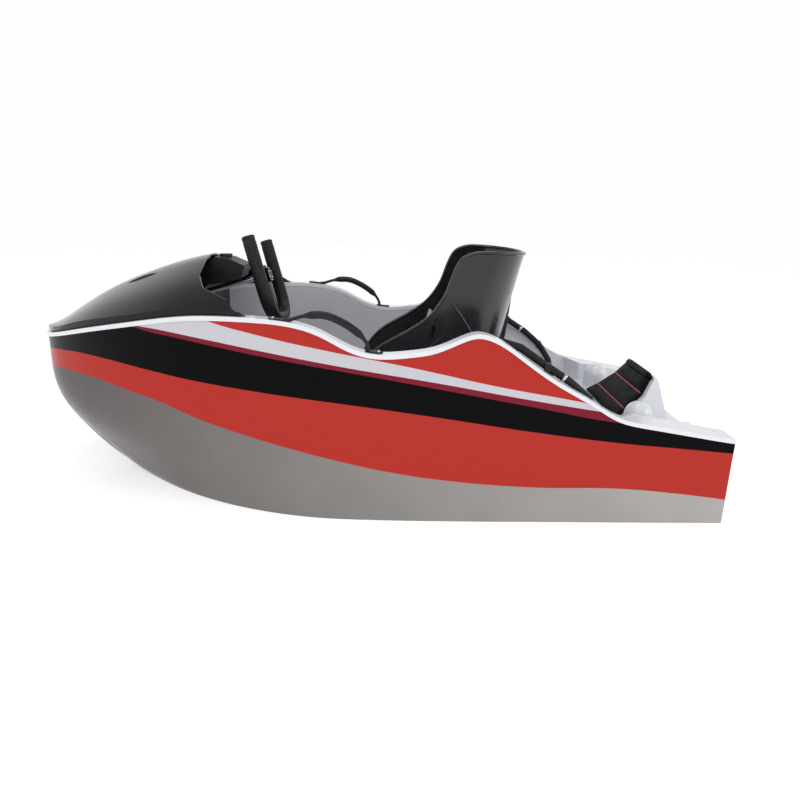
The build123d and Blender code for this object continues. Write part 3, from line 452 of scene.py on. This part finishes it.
def grip_size(share, distance):
    """Half sizes of the grip: rounded ends, fine finger ribs, and a moulded line near each end."""
    to_end = min(share, 1 - share) * grip_length
    ribs = rib_depth * math.sin(distance * 2 * math.pi / rib_pitch) if rib_start < to_end < rib_stop else 0.0
    end = 1.0 - 0.22 * max(0.0, 1 - to_end / 5.0) ** 2
    collar = 0.9 * math.exp(-((to_end - 16) / 4) ** 2)
    half = (grip_thick + ribs - collar) * end
    return half * grip_oval, half


dense_grip = []
for (across, height), (next_across, next_height) in zip(grip_run, grip_run[1:]):
    dense_grip += [on_wheel(across + (next_across - across) * part,
                            height + (next_height - height) * part) / 1000 for part in (0.0, 0.33, 0.67)]
dense_grip.append(on_wheel(*grip_run[-1]) / 1000)
wheel_grip_pad = swept("wheel_grip_pad", dense_grip, grip_size, grip_rubber, wheel_facing, 28)
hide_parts("wheel_grip")
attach(wheel_grip_pad, "wheel")


def metal(name, code, rough, grain):
    """A metal with fine marks of a given size in mm, and roughness varied about rough."""
    finish, tree, shader = new_finish(name, Base_Color=hue(code), Metallic=1.0)
    place = add_node(tree, "TexCoord").outputs["Object"]
    marks = add_node(tree, "TexNoise", {"Vector": place, "Scale": per_metre(grain), "Detail": 6.0,
                                        "Roughness": 0.7})
    gloss = add_node(tree, "MapRange", {"Value": marks.outputs["Fac"], "From Min": 0.3, "From Max": 0.7,
                                        "To Min": rough * 0.75, "To Max": rough * 1.35})
    tree.links.new(gloss.outputs[0], shader.inputs["Roughness"])
    soften_edges(tree, shader, 0.8, marks.outputs["Fac"], 0.15, 0.0004)
    return finish


# Aluminium, blasted and anodised black: a soft metallic sheen on a dark face
black_anodised = metal("aluminium, black anodised", "1C1C20", 0.38, 3.0)
# Stainless steel, polished: bright and sharp, with faint buffing marks
polished_steel = metal("stainless steel, polished", "C9CACC", 0.16, 4.0)
dress(black_anodised, "wheel_spokes")
dress(polished_steel, "steering_column", "stern_eye_port", "stern_eye_starboard", "hatch_hinges",
      "exhaust_outlet")


def cap_screw(name, centre, axis, radius):
    """A button-head screw with a round socket, base at centre."""
    return turned(name, [(radius, -0.4), (radius, 0.6), (radius * 0.92, 1.6), (radius * 0.7, 2.5),
                         (radius * 0.48, 2.8), (radius * 0.44, 2.7), (radius * 0.42, 1.2), (0.2, 1.1)],
                  centre, axis, polished_steel, 18)


screw_circle, screw_seat, screw_radius = 22.0, 10.0, 3.6
screws = []
for turn in (math.radians(30 + 60 * step) for step in range(6)):
    spot = on_wheel(screw_circle * math.cos(turn), screw_circle * math.sin(turn), screw_seat)
    screws.append(cap_screw("wheel_screw", spot, wheel_facing, screw_radius))
wheel_screws = joined("wheel_screws", screws)
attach(wheel_screws, "wheel")

# ---------------------------------------------------------------- gauge
# A round sealed instrument let into the console's top: a polished steel bezel
# pressed over a black dial with printed ticks.
gauge_low, gauge_high = (corner * 1000 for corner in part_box("dash_gauge"))
gauge_middle = (gauge_low + gauge_high) / 2
bezel_height = 3.0
dial_level = gauge_high.z - bezel_height
bezel_profile = [(23.4, -bezel_height), (23.6, 1.0), (22.6, 2.6), (20.4, 2.8), (19.2, 1.2), (19.0, 0.0)]
gauge_bezel = turned("gauge_bezel", bezel_profile, (gauge_middle.x, gauge_middle.y, dial_level), (0, 0, 1),
                     polished_steel)
# Ink on a matt dial: white enamel paint, so it stays bright at a glance
dial_ink, tree, shader = new_finish("enamel ink, screen printed", Base_Color=hue("E9E9E4"), IOR=1.5)
ink_grain = add_node(tree, "TexNoise", {"Scale": per_metre(1.5)})
ink_dullness = add_node(tree, "MapRange", {"Value": ink_grain.outputs["Fac"], "To Min": 0.4, "To Max": 0.6})
tree.links.new(ink_dullness.outputs[0], shader.inputs["Roughness"])
tick_faces = [(3, 2, 1, 0), (4, 5, 6, 7), (0, 1, 5, 4), (1, 2, 6, 5), (2, 3, 7, 6), (3, 0, 4, 7)]
tick_outer, ink_thick, tick_spread = 17.6, 0.4, 20
dial_middle = Vector((gauge_middle.x, gauge_middle.y, dial_level + 0.9))
ticks = []
for tick in range(-6, 7):
    angle = math.radians(tick_spread * tick)
    # Every third tick is long and bold
    inner, half = (13.0, 0.55) if tick % 3 == 0 else (14.8, 0.3)
    out = Vector((math.cos(angle), math.sin(angle), 0))
    side = Vector((-math.sin(angle), math.cos(angle), 0))
    outline = ((inner, -half), (tick_outer, -half), (tick_outer, half), (inner, half))
    corners = [(dial_middle + out * reach + side * lean + Vector((0, 0, lift))) / 1000
               for lift in (0, ink_thick) for reach, lean in outline]
    ticks.append(to_mesh_piece("tick", corners, tick_faces, dial_ink, False))
gauge_ticks = joined("gauge_ticks", ticks)
for piece in (gauge_bezel, gauge_ticks):
    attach(piece, "boat")

# ---------------------------------------------------------------- foot board and pedal
# A glass-fibre heel rest bonded to the floor, in the liner's grey gelcoat, with
# a throttle pedal of black anodised aluminium.
dress(liner_gelcoat, "foot_board")
dress(black_anodised, "throttle_pedal")

# ---------------------------------------------------------------- seat
# A bucket shell moulded in one piece on a glass-fibre pedestal, with a strut up
# its back, a rolled rim, stiffening ribs on its sides and a slot each side for a harness.
# Polyethylene, moulded: glossy, with a waxy wide highlight over a faint grain
seat_plastic = moulded_black("polyethylene, moulded shell", "161519", 0.2, 0.36, 2.2, 0.2, 3.0, 0.35, 0.5)
dress(seat_plastic, "seat_shell", "seat_strut")
dress(liner_gelcoat, "seat_pedestal")


def surface_of(node):
    """A search tree over a CAD node's faces."""
    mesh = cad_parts[node].data
    return BVHTree.FromPolygons([vertex.co for vertex in mesh.vertices],
                                [face.vertices for face in mesh.polygons])


seat_surface = surface_of("seat_shell")
seat_side_edge = [(40, 409), (8, 480), (-52, 546), (-161, 611), (-232, 663), (-284, 735), (-316, 820),
                  (-342, 866), (-386, 886)]
back_turn, back_depth, shell_wall = -440.0, 150.0, 9.0


def seat_half(height):
    """Half width of the shell's middle line at a height."""
    levels = ((310, 165), (420, 192), (569, 208), (720, 212), (858, 206), (900, 200))
    for (low, low_half), (high, high_half) in zip(levels, levels[1:]):
        if height <= high:
            share = (height - low) / (high - low)
            return low_half + (high_half - low_half) * share - shell_wall / 2
    return levels[-1][1] - shell_wall / 2


rim_corners = [(x, seat_half(z), z) for x, z in seat_side_edge]
rim_top, rim_fall = 888.0, 12.0
rim_corners += [(back_turn + (back_depth - shell_wall / 2) * math.cos(math.radians(turn)),
                 seat_half(rim_top) * math.sin(math.radians(turn)), rim_top - rim_fall * (turn - 90) / 90)
                for turn in (90, 110, 130, 150, 165, 180)]
rim_corners += [(x, -y, z) for x, y, z in reversed(rim_corners[:-1])]
seat_rim = swept("seat_rolled_rim", through(rim_corners, 8), lambda share, distance: (7.6, 6.4), seat_plastic,
                 (0, 1, 0), 14)
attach(seat_rim, "boat")


def pressed_rib(name, corners, half_width, proud):
    """A raised rib on both of the shell's outer sides, along corners given for the port side."""
    def rib_size(share, distance):
        """Half sizes of the rib: it fades into the shell at both ends."""
        to_end = min(share, 1 - share)
        return proud * min(1, 8 * to_end + 0.15), half_width * min(1, 6 * to_end + 0.2)

    sides = []
    for side in (1, -1):
        run = [seat_surface.find_nearest(point)[0]
               for point in through([(x, side * y, z) for x, y, z in corners], 10)]
        sides.append(swept(name, run, rib_size, seat_plastic, (0, 1, 0), 16))
    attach(joined(name, sides), "boat")


side_rib = [(-300, 215, 720), (-345, 215, 660), (-400, 214, 570), (-430, 212, 500)]
hip_rib = [(20, 200, 400), (-90, 208, 450), (-200, 212, 520), (-290, 214, 600)]
crescent_rib = [(-330, 208, 520), (-300, 208, 470), (-315, 206, 420), (-350, 204, 392)]
pressed_rib("seat_side_rib", side_rib, 6.0, 3.0)
pressed_rib("seat_hip_rib", hip_rib, 5.0, 2.6)
pressed_rib("seat_crescent_rib", crescent_rib, 5.0, 2.6)
# A plastic bezel clipped round each harness slot: station and height
slot_outline = [(-238, 577), (-228, 600), (-236, 629), (-252, 630), (-258, 605), (-248, 576), (-238, 577)]
slot_half = 214.0
bezels = []
for side in (1, -1):
    run = [seat_surface.find_nearest(point)[0]
           for point in through([(x, side * slot_half, z) for x, z in slot_outline], 8)]
    bezels.append(swept("slot_bezel", run, lambda share, distance: (2.6, 3.2), dash_abs, (0, 1, 0), 12))
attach(joined("seat_slot_bezels", bezels), "boat")

# ---------------------------------------------------------------- grab handles and hoses
# Rubber-covered tube handles, screwed down through flat feet, and a black
# breather hose clipped along the inner wall each side, with a steel ring on it.
# EPDM rubber, dipped over tube: a little glossier than extrusion, ribbed in the hand
handle_rubber = moulded_black("EPDM rubber, dipped over tube", "101013", 0.36, 0.55, 1.4, 0.3)
dress(seal_rubber, "side_hose_port", "side_hose_starboard")
dress(dash_abs, "hose_clips_port", "hose_clips_starboard")
rail_surface = surface_of("gunwale")


def rail_height(x, y):
    """Height of the rail's top at a place in mm."""
    spot = rail_surface.ray_cast(Vector((x, y, 1000)) / 1000, Vector((0, 0, -1)))[0]
    return spot.z * 1000


def handle_size(share, distance):
    """Half sizes of the handle: flat straps at the feet, padded and lightly ribbed in the hand."""
    middle = max(0.0, min(1.0, (share - 0.2) * 14)) * max(0.0, min(1.0, (0.86 - share) * 14))
    ribs = 0.5 * math.sin(distance * 2 * math.pi / 8.0) * middle
    return 6.0 + 6.5 * middle + ribs, 12.0 + 0.6 * middle + ribs


def foot_size(share, distance):
    """Half sizes of a handle's flat foot: its ends are rounded in plan."""
    return 3.2, 16.6 * math.sqrt(max(0.02, 1 - (2 * share - 1) ** 6))


# The handle's arch, station and height; its two ends stand on the rail, whatever its height
handle_crest = [(242, None), (220, 695), (190, 704), (155, 710), (112, 709), (70, 694), (27, 669), (-6, 641),
                (-22, 617), (-27, None)]
handle_feet = ((225.0, 293.0), (-72.0, -14.0))
foot_lift, foot_screw_lift, foot_screw_radius = 2.6, 5.4, 4.2
foot_screw_inset, foot_screw_half = 14.0, 8.0
hose_half, ring_place, ring_along = 467.0, (-668.0, 508.0), (-80.0, -51.0)
ring_profile = [(13.4, -5), (14.6, -5), (15.0, -3.6), (15.0, 3.6), (14.6, 5), (13.4, 5)]
for label, side in (("port", 1), ("starboard", -1)):
    low, high = (corner * 1000 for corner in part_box(f"grab_handle_{label}"))
    middle = (low.y + high.y) / 2
    corners = [(x, middle, z if z else rail_height(x, middle) + 2) for x, z in handle_crest]
    grip = swept(f"handle_grip_{label}", through(corners, 12), handle_size, handle_rubber, (0, 0, 1), 22)
    feet, screws = [grip], []
    for start, stop in handle_feet:
        run = []
        for step in range(13):
            x = start + (stop - start) * step / 12
            run.append(Vector((x, middle, rail_height(x, middle) + foot_lift)) / 1000)
        feet.append(swept("foot", run, foot_size, handle_rubber, (0, 0, 1), 24))
        outer = stop - foot_screw_inset if start > 0 else start + foot_screw_inset
        for y in (middle - foot_screw_half, middle + foot_screw_half):
            spot = (outer, y, rail_height(outer, y) + foot_screw_lift)
            screws.append(cap_screw("foot_screw", spot, (0, 0, 1), foot_screw_radius))
    handle = joined(f"handle_{label}", feet)
    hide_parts(f"grab_handle_{label}")
    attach(handle, "boat")
    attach(joined(f"handle_screws_{label}", screws), "boat")
    ring = turned("hose_ring", ring_profile, (ring_place[0], side * hose_half, ring_place[1]),
                  (ring_along[0], 0, ring_along[1]), polished_steel, 32)
    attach(joined(f"hose_rings_{label}", [ring]), "boat")

# ---------------------------------------------------------------- rear pad
# A vinyl-covered foam pad in three sewn panels lying against the hump, its seams
# piped and its top edge turned over the hump's crest.
# Marine vinyl, embossed: near black and dull, with a small leathery grain
pad_vinyl = moulded_black("marine vinyl, embossed", "060608", 0.45, 0.6, 1.8, 0.4, shine=0.08)
# Polyester thread, piped along the seams: magenta, slightly fuzzy, no gloss
piping_thread, tree, shader = new_finish("polyester piping, woven", Base_Color=hue("B02F5C"), IOR=1.5,
                                         Roughness=0.7, Sheen_Weight=0.3)
place = add_node(tree, "TexCoord").outputs["Object"]
thread_twist = add_node(tree, "TexWave", {"Vector": place, "Scale": per_metre(60), "Distortion": 1.0},
                        bands_direction="Y")
thread_relief = add_node(tree, "Bump", {"Height": thread_twist.outputs["Fac"], "Strength": 0.5,
                                        "Distance": 0.0006})
tree.links.new(thread_relief.outputs["Normal"], shader.inputs["Normal"])

# Seams from the foot of the pad up: station, height, half width
pad_seams = ((-914.0, 298.0, 224.0), (-960.0, 332.0, 202.0), (-1022.0, 385.0, 180.0), (-1058.0, 441.0, 150.0))
pad_rows, pad_columns, pad_inset, pad_start, pad_span = 36, 60, 7.0, 0.03, 0.94
# Depths in from the seam line: the sewing, how far a panel stands out of it, the back
sewn_depth, panel_rise, pad_back = 8.0, 6.0, 18.5


def pad_profile(share):
    """Seam-line point, outward direction and half width at a share of the way up the pad."""
    spot = share * (len(pad_seams) - 1)
    leg = min(int(spot), len(pad_seams) - 2)
    part = spot - leg
    low, high = pad_seams[leg], pad_seams[leg + 1]
    before, after = pad_seams[max(leg - 1, 0)], pad_seams[min(leg + 2, len(pad_seams) - 1)]
    start_slope = Vector((high[0] - before[0], 0, high[1] - before[1])).normalized()
    stop_slope = Vector((after[0] - low[0], 0, after[1] - low[1])).normalized()
    slope = start_slope.lerp(stop_slope, part).normalized()
    point = Vector((low[0] + (high[0] - low[0]) * part, 0, low[1] + (high[1] - low[1]) * part))
    return point, Vector((-slope.z, 0, slope.x)) * -1, low[2] + (high[2] - low[2]) * part, part


pad_vertices = []
for face_out in (True, False):
    for row in range(pad_rows + 1):
        share = pad_start + pad_span * row / pad_rows
        point, out, half, part = pad_profile(share)
        puff = math.sin(math.pi * part) ** 0.5 if 0 < part < 1 else 0.0
        for column in range(pad_columns + 1):
            across = 2 * column / pad_columns - 1
            edge = 1 - abs(across) ** 8
            depth = sewn_depth - panel_rise * puff * edge if face_out else pad_back
            spot = point - out * depth + Vector((0, across * (half - pad_inset), 0))
            pad_vertices.append(spot / 1000)
wide = pad_columns + 1
layer = wide * (pad_rows + 1)
pad_faces = []
for row in range(pad_rows):
    for column in range(pad_columns):
        corner = row * wide + column
        pad_faces.append((corner, corner + 1, corner + wide + 1, corner + wide))
        back_corner = layer + corner
        pad_faces.append((back_corner + wide, back_corner + wide + 1, back_corner + 1, back_corner))
for row in range(pad_rows):
    for column, flip in ((0, 1), (pad_columns, -1)):
        corner = row * wide + column
        pad_faces.append((corner, corner + wide, layer + corner + wide, layer + corner)[::flip])
for column in range(pad_columns):
    for row, flip in ((0, -1), (pad_rows, 1)):
        corner = row * wide + column
        pad_faces.append((corner, corner + 1, layer + corner + 1, layer + corner)[::-flip])
sewn_pad = to_mesh_piece("sewn_pad", pad_vertices, pad_faces, pad_vinyl)
bpy.context.view_layer.objects.active = sewn_pad
sewn_pad.select_set(True)
bpy.ops.object.mode_set(mode="EDIT")
bpy.ops.mesh.select_all(action="SELECT")
bpy.ops.mesh.normals_make_consistent(inside=False)
bpy.ops.object.mode_set(mode="OBJECT")
foam = sewn_pad.modifiers.new("foam", "REMESH")
foam.mode, foam.voxel_size = "VOXEL", 0.005
bpy.ops.object.modifier_apply(modifier=foam.name)
sewing_reach, sewing_pull, touching, swell_limit = 6.0, 1.6, 0.005, 0.006


def pad_hold(spot):
    """How firmly the sewing holds a place on the pad, 0 to 1."""
    firm = 0.0
    for seam in (1, 2):
        x, z, half = pad_seams[seam]
        out = pad_profile(seam / (len(pad_seams) - 1))[1]
        up_pad = Vector((-out.z, 0, out.x))
        reach = abs((spot - Vector((x, 0, z))).dot(up_pad))
        firm = max(firm, 1.0 - reach / sewing_reach)
    return max(0.0, min(1.0, firm * sewing_pull))


sewing = sewn_pad.vertex_groups.new(name="sewing")
flat_places = [vertex.co.copy() for vertex in sewn_pad.data.vertices]
hump_surface = surface_of("rear_deck")
for vertex in sewn_pad.data.vertices:
    firm = pad_hold(vertex.co * 1000)
    gap = hump_surface.find_nearest(vertex.co)[3]
    if gap is not None and gap < touching:
        firm = 1.0
    sewing.add([vertex.index], firm, "REPLACE")
swelling = sewn_pad.modifiers.new("swelling", "CLOTH")
swelling.settings.use_pressure = True
swelling.settings.uniform_pressure_force = 4.0
swelling.settings.effector_weights.gravity = 0.0
swelling.settings.vertex_group_mass = "sewing"
swelling.settings.quality = 6
for step in range(1, 21):
    bpy.context.scene.frame_set(step)
swollen = sewn_pad.evaluated_get(bpy.context.evaluated_depsgraph_get()).to_mesh()
places = []
for vertex, flat in zip(swollen.vertices, flat_places):
    move = vertex.co - flat
    places.append(flat + move * min(1.0, swell_limit / max(move.length, 1e-9)))
sewn_pad.modifiers.remove(swelling)
for vertex, place in zip(sewn_pad.data.vertices, places):
    vertex.co = place
bpy.context.scene.frame_set(1)
evened = sewn_pad.modifiers.new("evened", "SMOOTH")
evened.factor, evened.iterations = 0.5, 3
bpy.ops.object.modifier_apply(modifier=evened.name)
rounded = sewn_pad.modifiers.new("rounded", "SUBSURF")
rounded.levels = rounded.render_levels = 1
bpy.ops.object.modifier_apply(modifier=rounded.name)
for face in sewn_pad.data.polygons:
    face.use_smooth = True
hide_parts("rear_pad")
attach(sewn_pad, "boat")

pad_skin = BVHTree.FromPolygons([vertex.co for vertex in sewn_pad.data.vertices],
                                [face.vertices for face in sewn_pad.data.polygons])
piping_inset, piping_steps, cast_from, piping_lift = 4, 60, 25, 0.0004
pipings = []
for seam in (1, 2):
    point, out, half, part = pad_profile(seam / 3)
    run = []
    for step in range(piping_steps + 1):
        across = (2 * step / piping_steps - 1) * (half - pad_inset - piping_inset)
        start = (point + out * cast_from + Vector((0, across, 0))) / 1000
        spot = pad_skin.ray_cast(start, -out)[0]
        if spot:
            run.append(spot + out * piping_lift)
    if len(run) > 2:
        pipings.append(swept("seam_piping", run, lambda share, distance: (2.2, 2.6), piping_thread,
                             (0, 0, 1), 10))
seam_piping = joined("pad_seam_piping", pipings)
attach(seam_piping, "boat")
# The vinyl is turned over the hump's crest in a soft roll, bent aft and down at its ends
roll_x, roll_z, roll_half, roll_sweep, roll_droop = -1068.0, 436.0, 145.0, 4.0, 6.0
roll_run = []
for across in (roll_half * (step / 12 - 1) for step in range(25)):
    lean = across / roll_half
    roll_run.append(Vector((roll_x - roll_sweep * lean ** 4, across, roll_z - roll_droop * lean ** 6)) / 1000)


def roll_size(share, distance):
    """Half sizes of the roll: blunt at both ends."""
    taper = min(1, 9 * min(share, 1 - share) + 0.45)
    return 13.0 * taper, 15.0 * taper


pad_roll = swept("pad_top_roll", roll_run, roll_size, pad_vinyl, (0, 0, 1), 20)
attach(pad_roll, "boat")

# ---------------------------------------------------------------- engine and jet drive
# The engine's outline under the hatch, and a small cast jet unit in a tunnel
# between the pods: pump, impeller, swivelling nozzle, intake grate, ride plate.
# Aluminium, cast in sand: grey and dull, with a granular skin
cast_aluminium = metal("aluminium, sand cast", "A7A9AB", 0.48, 2.5)
dress(cast_aluminium, "engine_block", "pump_housing", "steering_nozzle", "ride_plate", "intake_grate")
dress(polished_steel, "impeller")
dress(dash_abs, "drain_plug")
